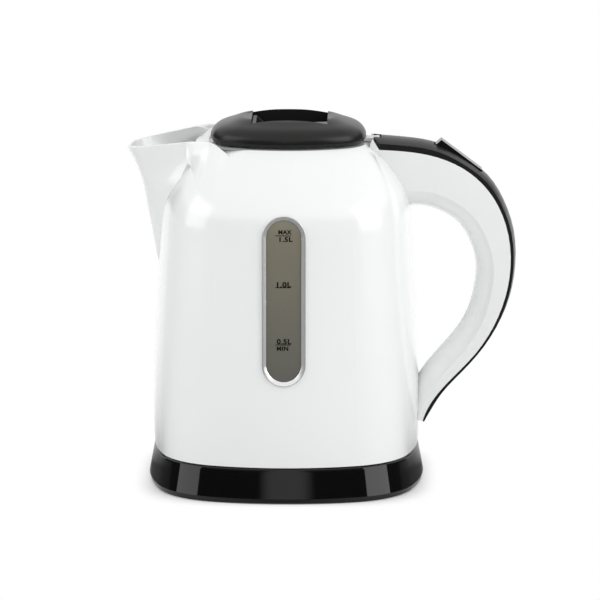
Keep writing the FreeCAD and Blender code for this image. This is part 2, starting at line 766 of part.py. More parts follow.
def make_filter():
    """Clip-in limescale filter standing across the root of the spout."""
    height = 46.0
    width = 44.0
    frame = new_body("spout_filter_frame")
    sketch = sketch_on(frame, "YZ_Plane")
    polygon(sketch, [(-width / 2, 0), (width / 2, 0), (width / 2, height), (-width / 2, height)])
    pad(frame, sketch, 2.4)
    openings = sketch_on(frame, "YZ_Plane")
    for low in (-width / 2 + 2.5, 1.0):
        polygon(openings, [(low, 2.5), (low + width / 2 - 3.5, 2.5),
                           (low + width / 2 - 3.5, height - 2.5), (low, height - 2.5)])
    pocket(frame, openings, 10, up=True)
    keep(frame)
    lean = Rotation(Y_AXIS, 13)
    foot = Vector(-(float(s.jug_half) - 8.5), 0, float(collar_top) - 57)
    frame.Placement = Placement(foot, lean)
    panels = []
    for low in (-width / 2 + 2.5, 1.0):
        panels.append(Part.makeBox(0.6, width / 2 - 3.5, height - 5, Vector(0.9, low, 2.5)))
    mesh = keep(feature("spout_filter_mesh", Part.makeCompound(panels)))
    mesh.Placement = Placement(foot, lean)


# ---------------------------------------------------------------- handle

# The parting line between the white loop and the black strip, from the collar round to the tail:
# distance beyond the jug's side as a share of the reach, height as a share of the jug's height,
# thickness of the strip outside it and depth of the loop inside it.
HANDLE = [
    (-0.535, 0.982, 6.6, 33.0),
    (-0.086, 0.9735, 5.9, 32.0),
    (0.192, 0.9565, 5.6, 30.0),
    (0.464, 0.921, 4.0, 28.7),
    (0.688, 0.867, 4.2, 27.0),
    (0.854, 0.796, 3.6, 24.5),
    (0.965, 0.702, 3.4, 22.0),
    (0.992, 0.592, 3.0, 19.2),
    (0.939, 0.495, 3.0, 18.0),
    (0.814, 0.397, 2.6, 16.5),
    (0.619, 0.306, 2.3, 16.0),
    (0.375, 0.227, 2.5, 15.3),
    (0.211, 0.172, 2.8, 13.9),
    (0.091, 0.116, 3.0, 11.1),
    (0.043, 0.078, 1.6, 8.8),
]
SWITCH_STATION = 3
NOSE_RADIUS = 25.0
NOSE_GAP = 3.0


def handle_curves():
    """The parting line in the plane of symmetry, a curve of both thicknesses, and the stations' parameters."""
    points = []
    sizes = []
    for out, up, strip, depth in HANDLE:
        x = float(s.jug_half) + out * float(s.handle_reach)
        z = float(jug_low) + up * float(s.jug_height)
        points.append(Vector(x, 0, z))
        sizes.append(Vector(strip, depth, 0))
    line = Part.BSplineCurve()
    line.interpolate(points)
    stations = [line.parameter(point) for point in points]
    thickness = Part.BSplineCurve()
    thickness.interpolate(Points=sizes, Parameters=stations)
    return line, thickness, stations


def handle_frames(first=0, last=None, steps=1):
    """Points along the parting line: place, outward, direction of travel, strip's and loop's thickness."""
    line, thickness, stations = handle_curves()
    chosen = stations[first:last]
    places = []
    for one, other in zip(chosen, chosen[1:]):
        places += [one + (other - one) * step / steps for step in range(steps)]
    places.append(chosen[-1])
    frames = []
    for place in places:
        point = line.value(place)
        along = line.tangent(place)[0].normalize()
        outward = Vector(-along.z, 0, along.x)
        if outward.z < 0 and point.z > float(shoulder_low):
            outward = outward * -1
        size = thickness.value(place)
        frames.append((point, outward, along, size.x, size.y))
    return frames


def crown_section(point, outward, half, side, top):
    """Flat base at the point, upright sides and one arc across, rising along outward."""
    low_left = point - Y_AXIS * half
    low_right = point + Y_AXIS * half
    left = low_left + outward * side
    right = low_right + outward * side
    edges = [Part.LineSegment(low_left, left).toShape(),
             Part.Arc(left, point + outward * top, right).toShape(),
             Part.LineSegment(right, low_right).toShape(),
             Part.LineSegment(low_right, low_left).toShape()]
    return Part.Wire(edges)


def chained(sections):
    """One solid through the sections, made of a ruled link between each two of them."""
    links = [Part.makeLoft([one, other], True) for one, other in zip(sections, sections[1:])]
    return links[0].fuse(links[1:])


def make_handle():
    """White loop, hollow behind the black strip that closes it."""
    half = float(s.handle_width) / 2
    wall = float(s.handle_wall)
    rise = float(s.handle_round)
    loop = []
    strip = []
    for point, outward, along, thick, depth in handle_frames(steps=3):
        loop.append(crown_section(point, outward * -1, half, max(depth - rise, 0.3 * depth), depth))
        strip.append(crown_section(point + outward * 0.05, outward, half, thick * 0.55, thick))
    hollow = []
    for point, outward, along, thick, depth in handle_frames(2, 13, steps=3):
        side = max(depth - rise, 0.3 * depth)
        hollow.append(crown_section(point + outward, outward * -1, half - wall, side - wall + 1, depth - wall + 1))
    loop_solid = chained(loop)
    hollow_solid = chained(hollow)
    strip_solid = chained(strip)
    doc.recompute()
    jug_outside = doc.getObject("jug_outer").Shape
    loop_solid = loop_solid.cut(jug_outside).cut(hollow_solid)
    loop_solid = biggest(loop_solid)
    wire_hole = Part.makeCylinder(4, 30, Vector(float(s.jug_half) - 8, 0, float(port_height())), X_AXIS)
    steam_hole = Part.makeCylinder(3.3, 40, Vector(float(s.collar_half) + 5, 0, float(steam_height())), X_AXIS)
    loop_solid = loop_solid.cut(wire_hole).cut(steam_hole)
    keep(feature("handle_shell", loop_solid))

    nose_middle = Vector(float(s.collar_half) + NOSE_GAP + NOSE_RADIUS, 0, float(shoulder_low))
    nose = Part.makeCylinder(NOSE_RADIUS, 60, nose_middle, Z_AXIS)
    behind = Part.makeBox(120, 60, 220, Vector(nose_middle.x, -30, 0))
    strip_solid = strip_solid.common(nose.fuse(behind)).cut(jug_outside)
    strip_solid = strip_solid.cut(lid_pin_bore()).cut(knuckle_room())
    strip_solid = strip_solid.cut(in_switch_frame(rocker_slot())).cut(in_switch_frame(rocker_bore()))
    keep(feature("handle_cover", biggest(strip_solid)))


def make_handle_lines():
    """Steam duct from the chamber to the switch, and the two wires down to the connector."""
    start = (s.collar_half + 12.5, 0, steam_height())
    duct = cylinder("duct_outside", 3.2, 21, start, X_AXIS)
    bore = cylinder("duct_bore", 2.2, 40, (s.collar_half + 5, 0, steam_height()), X_AXIS)
    keep(cut("steam_tube", duct, bore))
    port_z = float(port_height())
    side = float(s.jug_half)
    wires = []
    for offset in (-2.0, 2.0):
        middle = [point - outward * (depth * 0.4) for point, outward, along, thick, depth in handle_frames(5, 12)]
        points = middle + [Vector(side + 9, 0, port_z), Vector(side - 7, 0, port_z)]
        wires.append(tube_along([point + Y_AXIS * offset for point in points], 5.0, 0.9))
    keep(feature("handle_wires", Part.makeCompound(wires)))


def biggest(shape):
    """The largest solid of a shape, without the crumbs a cut leaves."""
    return max(shape.Solids, key=lambda solid: solid.Volume)


def switch_placement():
    """Local frame of the switch: X down the handle, Z outward, origin on the parting line."""
    point, outward, along = handle_frames()[SWITCH_STATION][:3]
    if along.z > 0:
        along = along * -1
    turn = math.degrees(math.atan2(-along.z, along.x))
    return Placement(point, Rotation(Y_AXIS, turn))


def in_switch_frame(shape):
    placed = shape.copy()
    placed.Placement = switch_placement().multiply(placed.Placement)
    return placed


ROCKER_FRONT = -19.05
ROCKER_APEX = -17.55
ROCKER_BACK = 10.5
ROCKER_TOP = 6.6
ROCKER_TAIL = 3.7
PIVOT_ALONG = -6.0
PIVOT_OUT = 1.0


def rocker_slot():
    fit = float(s.rocker_fit)
    width = float(s.rocker_width) + 2 * fit
    length = ROCKER_BACK - ROCKER_FRONT + 2.2 * fit + 0.4
    return Part.makeBox(length, width, 24, Vector(ROCKER_FRONT - fit - 0.3, -width / 2, -6))


def rocker_bore():
    """Seats of the rocker's pin in the strip's side walls."""
    reach = float(s.rocker_width) / 2 + 3.4
    return Part.makeCylinder(float(s.rocker_pin_radius), 2 * reach, Vector(PIVOT_ALONG, -reach, PIVOT_OUT), Y_AXIS)


def make_switch():
    """Rocker on its pin, and the steam switch beneath it in the handle."""
    width = s.rocker_width
    rocker = side_profile("rocker_blank", [
        (ROCKER_FRONT, 1.9), (ROCKER_APEX, ROCKER_TOP), (ROCKER_BACK, ROCKER_TAIL), (ROCKER_BACK, 1.2),
        (PIVOT_ALONG + 4, -1.6), (PIVOT_ALONG - 3, -1.6), (ROCKER_FRONT + 4, 0.6)], width)
    rocker.Placement = switch_placement()
    bore = Part.makeCylinder(float(s.rocker_pin_radius + s.pin_fit), 40, Vector(PIVOT_ALONG, -20, PIVOT_OUT), Y_AXIS)
    keep(cut("switch_rocker", rocker, feature("rocker_pivot_hole", in_switch_frame(bore))))
    reach = float(s.rocker_width) / 2 + 2.9
    pin = Part.makeCylinder(float(s.rocker_pin_radius), 2 * reach, Vector(PIVOT_ALONG, -reach, PIVOT_OUT), Y_AXIS)
    keep(feature("rocker_pin", in_switch_frame(pin)))
    case = Part.makeBox(20, 15, 10, Vector(-7, -7.5, -17))
    post = Part.makeBox(3, 5, 4, Vector(-3, -2.5, -7))
    keep(feature("steam_switch", in_switch_frame(case.fuse(post))))
    disc = Part.makeCylinder(6, 0.6, Vector(-7.6, 0, -12), Vector(-1, 0, 0))
    keep(feature("steam_bimetal", in_switch_frame(disc)))
    leaves = [Part.makeBox(8, 3, 0.6, Vector(13, side, -12)) for side in (-6, 3)]
    keep(feature("switch_contacts", in_switch_frame(Part.makeCompound(leaves))))
    lamp = Part.makeCylinder(2, 8, Vector(16, -4, -8.4), Y_AXIS)
    keep(feature("pilot_lamp", in_switch_frame(lamp)))


# ---------------------------------------------------------------- lid

def hinge_spot():
    return Vector(float(s.hinge_reach), 0, float(collar_top) + 0.8)


KNUCKLE_HALF = 5.0
PIN_HALF = 8.2


def knuckle_room():
    """Slot through the strip's nose in which the lid's knuckle and arm turn."""
    spot = hinge_spot()
    half = KNUCKLE_HALF + 0.35
    radius = float(s.hinge_radius) + 0.4
    room = Part.makeCylinder(radius, 2 * half, Vector(spot.x, -half, spot.z), Y_AXIS)
    mouth = Part.makeBox(radius + 8, 2 * half, 8, Vector(spot.x - 8, -half, spot.z - 1.2))
    return room.fuse(mouth)


def lid_pin_bore():
    spot = hinge_spot()
    return Part.makeCylinder(float(s.pin_radius), 2 * PIN_HALF, Vector(spot.x, -PIN_HALF, spot.z), Y_AXIS)


def lid_levels(inset, lift):
    """Rounded squares up the lid: a tucked edge, then a quarter-oval crown."""
    wide = lid_low + s.lid_side
    levels = [(lid_low + lift, s.lid_half - 2.0 - inset, s.lid_narrow), (wide, s.lid_half - inset, s.lid_narrow)]
    for degrees in (18, 38, 58, 76):
        angle = math.radians(degrees)
        spread = s.lid_flat + (s.lid_half - s.lid_flat) * math.cos(angle)
        levels.append((wide + (s.lid_rise - inset) * math.sin(angle), spread - inset,
                       s.lid_narrow * (spread / s.lid_half)))
    return levels


def make_lid():
    """Domed cover with a finger pocket, its inner pan, seal, catch and hinge."""
    shift, narrow = s.lid_shift, s.lid_narrow
    dome = square_loft("lid_dome", lid_levels(0, 0), shift=shift)
    hollow = square_loft("lid_hollow", lid_levels(s.lid_wall, -1), shift=shift)
    top = lid_low + s.lid_side + s.lid_rise
    front, back, half = -s.pocket_front, s.pocket_back, s.pocket_width / 2
    floor = top - s.pocket_depth
    well_wall = 1.8
    well = box("pocket_well", (front - well_wall, back + well_wall), (-half - well_wall, half + well_wall),
               (floor - well_wall, top))
    well_in_dome = common("pocket_box", [well, dome])
    recess = new_body("pocket_recess")
    outline = sketch_on(recess, "XY_Plane", floor)
    polygon(outline, [(front, -half), (1.5, -half), (1.5, -half + 4.5), (back - 3, -half + 9),
                      (back, -half + 10), (back, half), (front, half)])
    pad(recess, outline, s.pocket_depth + 5)
    ledge = box("finger_ledge", (1.5, back), (-half, 0), (top - 1.9, top + 5))
    catch_slot = box("catch_slot", (front - well_wall - 1, front + 2), (-6.2, 6.2), (floor, floor + 2.6))
    arm_notch = box("arm_notch", (38, 48), (-KNUCKLE_HALF - 0.4, KNUCKLE_HALF + 0.4),
                    (lid_low - 1, lid_low + 1.8))
    blank = cut("lid_skin", dome, hollow)
    pan_low = lid_low - s.plug_depth
    boss_low = pan_low + 2.05
    bosses = [cylinder("lid_boss", s.boss_radius, top - 2.6 - boss_low, spot + (boss_low,)) for spot in BOSSES]
    boss_holes = [cylinder("boss_hole", s.screw_radius, 10, spot + (boss_low - 1,)) for spot in BOSSES]
    carrier = fused("lid_with_well", [blank, well_in_dome] + bosses)
    keep(cut("lid_cover", carrier, recess, ledge, catch_slot, arm_notch, *boss_holes))
    spot = hinge_spot()
    pin = Part.makeCylinder(float(s.pin_radius), 2 * PIN_HALF, Vector(spot.x, -PIN_HALF, spot.z), Y_AXIS)
    keep(feature("lid_hinge_pin", pin))

    pan_top = lid_low + 1.4
    flange = square_prism("pan_flange", s.lid_half - s.lid_wall - 1.6, pan_top - 1.2, pan_top, shift=shift, narrow=narrow)
    plug = square_prism("pan_plug", s.plug_half, pan_low, pan_top, shift=shift, narrow=narrow)
    pan_hollow = square_prism("pan_hollow", s.plug_half - 2, pan_low + 2, pan_top + 1, shift=shift, narrow=narrow)
    nose_hole = box("nose_hole", (-s.plug_half - 3, -s.plug_half + 6), (-4.7, 4.7), (pan_low + 2.6, pan_low + 5.4))
    pan_holes = [cylinder("pan_hole", s.screw_radius + 0.2, 10, spot + (pan_low - 1,)) for spot in BOSSES]
    stop = box("spring_stop", (-19.5, -17.5), (-4, 4), (pan_low + 1, pan_top - 0.5))
    pan_cup = cut("pan_cup", fused("pan_blank", [flange, plug]), pan_hollow)
    knuckle = cylinder("lid_knuckle", s.hinge_radius, 2 * KNUCKLE_HALF, (spot.x, -KNUCKLE_HALF, spot.z), Y_AXIS)
    arm = box("lid_arm", (35.5, s.hinge_reach), (-KNUCKLE_HALF, KNUCKLE_HALF), (pan_top - 1.6, pan_top))
    knuckle_bore = cylinder("knuckle_bore", s.pin_radius + s.pin_fit, 40, (spot.x, -20, spot.z), Y_AXIS)
    keep(cut("lid_pan", fused("pan_with_arm", [pan_cup, stop, knuckle, arm]), nose_hole, knuckle_bore, *pan_holes))
    gasket_low = pan_low + 0.3
    ring_outside = square_prism("gasket_outside", s.plug_half + 1.8, gasket_low, gasket_low + 1.8, shift=shift, narrow=narrow)
    ring_inside = square_prism("gasket_inside", s.plug_half, gasket_low - 1, gasket_low + 4, shift=shift, narrow=narrow)
    keep(cut("lid_gasket", ring_outside, ring_inside))
    lid_screw = screw("lid_screw", s.screw_radius - 0.03, 8)
    keep(copies("lid_screws", lid_screw,
                [Placement(Vector(float(x), float(y), float(pan_low) - 1.2), Rotation()) for x, y in BOSSES]))
    make_catch(floor, pan_low, front)


BOSSES = [(-26.5, -10), (28.5, -10), (28.5, 10), (-26.5, 10)]


def make_catch(pocket_floor, pan_low, front):
    """Finger tab in the pocket, a leg down through the lid and a nose under the collar."""
    leg_front = s.lid_shift - s.plug_half + 2.4
    nose = s.lid_shift - s.plug_half - 2.1
    leg_back = leg_front + 2
    arm_low = pocket_floor + 0.3
    leg = side_profile("catch_leg", [
        (front + 2, arm_low + 1.6), (leg_front, arm_low + 1.6), (leg_front, pan_low + 5.0), (nose, pan_low + 4.2),
        (nose, pan_low + 3.0), (leg_back, pan_low + 3.0), (leg_back, arm_low), (front + 2, arm_low)], s.catch_width)
    tab = side_profile("catch_tab", [
        (front + 0.4, pocket_floor + 5.9), (front + 0.4, arm_low), (front + 8.5, arm_low),
        (front + 8.5, arm_low + 0.8), (front + 6.2, pocket_floor + 2.2), (front + 2.2, pocket_floor + 5.9)], s.tab_width)
    finger_dish = box("finger_dish", (front + 2.4, front + 9), (-s.tab_width / 2 + 3, s.tab_width / 2 - 3),
                      (arm_low + 1.6, pocket_floor + 9))
    keep(fused("lid_catch", [leg, cut("catch_tab_dished", tab, finger_dish)]))
    coil_start = Vector(float(leg_back) + 0.25, 0, float(pan_low) + 5.2)
    coil_length = -19.5 - 0.25 - coil_start.x
    wire = 0.35
    helix = Part.makeHelix(coil_length / 4.5, coil_length - 2 * wire, 2.0)
    ring = Part.Wire(Part.makeCircle(wire, Vector(2.0, 0, 0), Y_AXIS))
    coil = Part.Wire(helix).makePipeShell([ring], True, True)
    spring = keep(feature("catch_spring", coil))
    spring.Placement = Placement(coil_start + X_AXIS * wire, Rotation(Z_AXIS, X_AXIS))


make_base()
make_jug()
make_gauge()
make_heater()
make_filter()
make_handle()
make_handle_lines()
make_switch()
make_lid()
doc.recompute()

# ---------------------------------------------------------------- write the sub-parts

faults = [thing.Label for thing in doc.Objects if "Invalid" in thing.State or "Error" in thing.State]
for node in nodes:
    if node.Shape.isNull() or not node.Shape.isValid():
        faults.append(node.Label + " (shape)")
if faults:
    raise RuntimeError("failed objects: " + ", ".join(faults))
os.makedirs("parts", exist_ok=True)
for node in nodes:
    node.Shape.exportStep("parts/%s.step" % node.Label)
    print("%-20s %10.1f mm3 %3d solids" % (node.Label, node.Shape.Volume, len(node.Shape.Solids)))
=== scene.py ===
"""Looks of the electric kettle: materials, the gauge's marks and rim, the rim and ramp behind the
spout, the cheeks beside the hinge, floor, light and camera.

Metres, in the CAD frame: +Z up, the spout along -X, the handle along +X, the gauge facing -Y.
"""

import json
import math

import bpy
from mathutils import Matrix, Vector
from mathutils.bvhtree import BVHTree


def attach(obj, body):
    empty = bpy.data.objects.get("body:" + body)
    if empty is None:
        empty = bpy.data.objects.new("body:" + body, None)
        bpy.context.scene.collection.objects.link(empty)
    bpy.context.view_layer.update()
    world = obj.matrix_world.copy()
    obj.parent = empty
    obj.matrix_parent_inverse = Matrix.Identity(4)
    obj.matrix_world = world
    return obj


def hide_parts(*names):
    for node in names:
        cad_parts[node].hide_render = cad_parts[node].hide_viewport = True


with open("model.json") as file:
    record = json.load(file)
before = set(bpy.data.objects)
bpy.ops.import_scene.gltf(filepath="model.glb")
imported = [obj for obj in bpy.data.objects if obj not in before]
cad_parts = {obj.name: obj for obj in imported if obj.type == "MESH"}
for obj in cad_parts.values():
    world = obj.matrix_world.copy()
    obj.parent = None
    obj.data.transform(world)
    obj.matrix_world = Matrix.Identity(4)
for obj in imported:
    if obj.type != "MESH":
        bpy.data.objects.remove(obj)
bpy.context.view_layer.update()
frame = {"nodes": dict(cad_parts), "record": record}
nodes = frame["nodes"]
scene = bpy.context.scene
MM = 0.001


# ---------------------------------------------------------------- surfaces met by rays

# Where the rays start: Y in front of the jug, Z above it, X on the spout's side.
IN_FRONT, ABOVE, SPOUT_SIDE = -0.2, 0.25, -0.09
TO_THE_BACK, DOWN, TO_THE_HANDLE = Vector((0, 1, 0)), Vector((0, 0, -1)), Vector((1, 0, 0))


def tree_of(thing):
    """A node's surface, ready to be met by rays."""
    graph = bpy.context.evaluated_depsgraph_get()
    return BVHTree.FromObject(thing, graph)


# ---------------------------------------------------------------- node helpers

class Graph:
    """Adds shader nodes to one tree and wires them by socket name."""

    def __init__(self, tree):
        self.tree = tree
        tree.nodes.clear()

    def add(self, kind, inputs=(), **settings):
        made = self.tree.nodes.new(kind)
        for name, value in settings.items():
            setattr(made, name, value)
        for socket, value in dict(inputs).items():
            self.put(made.inputs[socket], value)
        return made

    def put(self, socket, value):
        if isinstance(value, bpy.types.NodeSocket):
            self.tree.links.new(value, socket)
        elif isinstance(value, bpy.types.Node):
            self.tree.links.new(value.outputs[0], socket)
        else:
            socket.default_value = value

    def math(self, operation, *values, clamp=False):
        made = self.add("ShaderNodeMath", operation=operation, use_clamp=clamp)
        for socket, value in zip(made.inputs, values):
            self.put(socket, value)
        return made.outputs[0]

    def remap(self, value, low, high, to_low, to_high, smooth=False):
        made = self.add("ShaderNodeMapRange", {0: value, 1: low, 2: high, 3: to_low, 4: to_high},
                        interpolation_type="SMOOTHSTEP" if smooth else "LINEAR")
        return made.outputs[0]

    def blend(self, factor, first, second):
        made = self.add("ShaderNodeMix", data_type="RGBA")
        self.put(made.inputs[0], factor)
        self.put(made.inputs[6], first)
        self.put(made.inputs[7], second)
        return made.outputs[2]

    def noise(self, scale, detail=2.0, stretch=(1, 1, 1), offset=(0, 0, 0)):
        place = self.add("ShaderNodeTexCoord").outputs["Object"]
        mapped = self.add("ShaderNodeMapping", {"Vector": place, "Scale": stretch, "Location": offset})
        made = self.add("ShaderNodeTexNoise", {"Vector": mapped, "Scale": scale, "Detail": detail})
        return made.outputs["Fac"]


# ---------------------------------------------------------------- materials

# Pattern scales are per metre, and shares of a pattern's 0 to 1 range say where it starts and ends.
MIDDLE_LOW, MIDDLE_HIGH = 0.3, 0.7
MOTTLE_SCALE, SCUFF_SCALE = 14.0, 60.0
SCUFF_STRETCH, SCUFF_OFFSET = (1.0, 14.0, 3.0), (0.3, 0.1, 0.7)
SCUFF_START, SCUFF_FULL = 0.62, 0.74
SCUFF_TINT, SCUFF_PALER, SCUFF_DULLER = 0.12, 1.35, 0.3
GRAIN_STRENGTH = 0.6


def shade(colour, factor):
    """The colour made lighter or darker by a factor."""
    return (colour[0] * factor, colour[1] * factor, colour[2] * factor, 1)


def surface(name, colour, rough, *, metallic=0.0, vary=0.03, rough_vary=0.05, grain=900.0, bump=0.00001,
            streak=(1, 1, 1), scuffs=0.25, coat=0.0, coat_rough=0.03, clear=0.0, ior=1.47, fade=None):
    """A principled material with mottled colour, uneven gloss, fine grain and faint scuffs.

    fade holds two heights and the colour below the lower one; the colour above the upper is its own.
    """
    made = bpy.data.materials.new(name)
    made.use_nodes = True
    g = Graph(made.node_tree)
    cloud = g.noise(MOTTLE_SCALE, detail=3.0)
    fine = g.noise(grain, detail=2.0, stretch=streak)
    lines = g.noise(SCUFF_SCALE, detail=4.0, stretch=SCUFF_STRETCH, offset=SCUFF_OFFSET)
    scuff = g.remap(lines, SCUFF_START, SCUFF_FULL, 0.0, scuffs, smooth=True)
    mottle = g.remap(cloud, MIDDLE_LOW, MIDDLE_HIGH, 0.0, 1.0)
    tone = g.blend(mottle, shade(colour, 1 - vary), shade(colour, 1 + vary))
    if fade:
        low, high, low_colour = fade
        place = g.add("ShaderNodeTexCoord").outputs["Object"]
        height = g.add("ShaderNodeSeparateXYZ", {0: place}).outputs["Z"]
        tone = g.blend(g.remap(height, low, high, 1.0, 0.0), tone, shade(low_colour, 1))
    worn = g.blend(g.math("MULTIPLY", scuff, SCUFF_TINT), tone, shade(colour, SCUFF_PALER))
    uneven = g.remap(cloud, MIDDLE_LOW, MIDDLE_HIGH, rough - rough_vary / 2, rough + rough_vary / 2)
    gloss = g.math("ADD", uneven, g.math("MULTIPLY", scuff, SCUFF_DULLER), clamp=True)
    relief = g.add("ShaderNodeBump", {"Strength": GRAIN_STRENGTH, "Distance": bump, "Height": fine})
    skin = g.add("ShaderNodeBsdfPrincipled", {
        "Base Color": worn, "Roughness": gloss, "Metallic": metallic, "IOR": ior,
        "Coat Weight": coat, "Coat Roughness": coat_rough, "Transmission Weight": clear, "Normal": relief})
    out = g.add("ShaderNodeOutputMaterial")
    g.put(out.inputs["Surface"], skin.outputs[0])
    return made


WHITE = (0.86, 0.875, 0.87)
MATERIALS = {
    "white_gloss": surface("white_gloss", WHITE, 0.16, vary=0.008, bump=0.000002, coat=1.0, scuffs=0.12,
                           coat_rough=0.2),
    "black_gloss": surface("black_gloss", (0.0026, 0.0026, 0.0028), 0.05, bump=0.0000008, scuffs=0.1),
    "black_satin": surface("black_satin", (0.011, 0.011, 0.0105), 0.30, bump=0.000008, grain=2200.0,
                           ior=1.36),
    "black_plain": surface("black_plain", (0.022, 0.022, 0.022), 0.45, bump=0.00002, grain=1500.0),
    "grey_plain": surface("grey_plain", (0.76, 0.77, 0.76), 0.42, bump=0.00001),
    "bright_trim": surface("bright_trim", (0.84, 0.84, 0.85), 0.24, metallic=0.72, scuffs=0.15),
    "smoked_pane": surface("smoked_pane", (0.235, 0.222, 0.165), 0.16, vary=0.05, clear=0.2, bump=0.000003,
                           fade=(0.072, 0.150, (0.150, 0.147, 0.127))),
    "clear_lens": surface("clear_lens", (0.6, 0.12, 0.05), 0.2, clear=0.5),
    "rubber_grey": surface("rubber_grey", (0.32, 0.32, 0.31), 0.7, bump=0.00002),
    "rubber_black": surface("rubber_black", (0.02, 0.02, 0.02), 0.75, bump=0.00003),
    "steel": surface("steel", (0.56, 0.55, 0.53), 0.32, metallic=1.0, streak=(1, 1, 12), grain=500.0),
    "spring_steel": surface("spring_steel", (0.45, 0.45, 0.46), 0.3, metallic=1.0),
    "brass": surface("brass", (0.70, 0.52, 0.24), 0.3, metallic=1.0),
    "mesh": surface("mesh", (0.62, 0.62, 0.58), 0.55, bump=0.0002, grain=1800.0),
}

SHARP_ANGLE = math.radians(28)    # edges that turn more than this stay crisp

slots = {part["node"]: part["material_slot"] for part in frame["record"]["subparts"]}
for name, thing in nodes.items():
    thing.data.materials.clear()
    thing.data.materials.append(MATERIALS[slots[name]])
    thing.data.shade_smooth()
    thing.data.set_sharp_from_angle(angle=SHARP_ANGLE)


# ---------------------------------------------------------------- gauge marks

pane_surface = tree_of(nodes["window_pane"])
INK = surface("mark_ink", (0.008, 0.0075, 0.006), 0.6, vary=0.1, bump=0.000002, ior=1.15)
MARK_LIFT = 0.00004
LETTER_BOLD, LETTER_GAP = 0.04, 1.1
LINE_X, LINE_WIDTH, LINE_THICK = -0.4 * MM, 8.3 * MM, 0.45 * MM


def lay_on_pane(mesh):
    """Drops flat marks drawn in X and Z onto the pane's curved face."""
    for vertex in mesh.vertices:
        spot = Vector((vertex.co.x, IN_FRONT, vertex.co.z))
        hit = pane_surface.ray_cast(spot, TO_THE_BACK)[0]
        vertex.co.y = hit.y - MARK_LIFT


def written(label, text, width, height, x, z):
    """Bold capitals and numerals stretched to a width and a height about their middle."""
    curve = bpy.data.curves.new(label, "FONT")
    curve.body = text
    curve.size = height
    curve.offset = height * LETTER_BOLD
    curve.space_character = LETTER_GAP
    holder = bpy.data.objects.new(label + "_text", curve)
    scene.collection.objects.link(holder)
    bpy.context.view_layer.update()
    mesh = bpy.data.meshes.new_from_object(holder.evaluated_get(bpy.context.evaluated_depsgraph_get()))
    bpy.data.objects.remove(holder)
    across = [vertex.co.x for vertex in mesh.vertices]
    up = [vertex.co.y for vertex in mesh.vertices]
    for vertex in mesh.vertices:
        share_x = (vertex.co.x - min(across)) / (max(across) - min(across)) - 0.5
        share_z = (vertex.co.y - min(up)) / (max(up) - min(up)) - 0.5
        vertex.co = Vector((x + share_x * width, 0, z + share_z * height))
    finish_mark(label, mesh)


def ruled(label, width, thick, x, z):
    """A thin bar split along its length so that it follows the pane."""
    steps = 8
    spots = []
    for i in range(steps + 1):
        across = x - width / 2 + width * i / steps
        spots += [(across, 0, z - thick / 2), (across, 0, z + thick / 2)]
    faces = [(2 * i, 2 * i + 2, 2 * i + 3, 2 * i + 1) for i in range(steps)]
    mesh = bpy.data.meshes.new(label)
    mesh.from_pydata(spots, [], faces)
    finish_mark(label, mesh)


def finish_mark(label, mesh):
    """Lays a mark on the pane in ink, as a piece of the jug."""
    lay_on_pane(mesh)
    mesh.materials.append(INK)
    made = bpy.data.objects.new(label, mesh)
    scene.collection.objects.link(made)
    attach(made, "jug")


# Word, width, height, middle across and middle height in millimetres, height of the line below it.
MARKS = [("MAX", 7.3, 2.4, 0.7, 150.3, 148.3), ("1.5L", 7.2, 2.7, 1.2, 146.3, None),
         ("1.0L", 7.9, 3.0, 0.2, 121.5, 119.9), ("0.5L", 8.0, 3.0, 0.2, 90.3, 88.5),
         ("MIN", 6.3, 2.4, -0.65, 86.5, None)]
for text, width, height, x, z, line in MARKS:
    name = "mark_" + text.replace(".", "_").lower()
    written(name, text, width * MM, height * MM, x * MM, z * MM)
    if line:
        ruled(name + "_line", LINE_WIDTH, LINE_THICK, LINE_X, line * MM)


# ---------------------------------------------------------------- gauge rim

RIM_HALF, RIM_LOW, RIM_HIGH, RIM_PROUD = 12.0 * MM, 65.6 * MM, 159.1 * MM, 1.1 * MM
RIM_EDGE, RIM_WIDE = 0.1, 2.3    # how far in from the solid rim's outer edge its face is looked for
# Across the rim: distance in from its outer edge and height above the jug's wall.
RIM_PROFILE = [(0.0, 0.0), (0.0, 0.75), (0.06, 0.95), (0.18, 1.06), (0.32, 1.08), (0.5, 1.02), (1.3, 0.58),
               (2.0, 0.16), (2.2, 0.06), (2.35, -0.06), (2.5, -0.3), (2.5, -1.2)]


def bevelled_rim():
    """The bright ring with a rounded outer edge and a bevel that falls towards the pane."""
    rim_surface = tree_of(nodes["window_frame"])
    steps = 48
    angles = [math.pi * i / steps for i in range(steps + 1)]
    spots = []
    for inset, lift in RIM_PROFILE:
        radius = RIM_HALF - inset * MM
        for middle, turn in ((RIM_HIGH - RIM_HALF, 0.0), (RIM_LOW + RIM_HALF, math.pi)):
            for angle in angles:
                x = radius * math.cos(angle + turn)
                z = middle + radius * math.sin(angle + turn)
                probe = (RIM_HALF - min(max(inset, RIM_EDGE), RIM_WIDE) * MM) / radius
                ahead = Vector((x * probe, IN_FRONT, middle + (z - middle) * probe))
                face = rim_surface.ray_cast(ahead, TO_THE_BACK)[0].y
                spots.append((x, face + RIM_PROUD - lift * MM, z))
    around = 2 * len(angles)
    faces = []
    for row in range(len(RIM_PROFILE) - 1):
        for i in range(around):
            following = (i + 1) % around
            faces.append((row * around + i, row * around + following,
                          (row + 1) * around + following, (row + 1) * around + i))
    mesh = bpy.data.meshes.new("gauge_rim")
    mesh.from_pydata(spots, [], faces)
    mesh.materials.append(MATERIALS["bright_trim"])
    mesh.shade_smooth()
    made = bpy.data.objects.new("gauge_rim", mesh)
    scene.collection.objects.link(made)
    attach(made, "jug")
    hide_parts("window_frame")


bevelled_rim()


# ---------------------------------------------------------------- rim between the spout and the lid

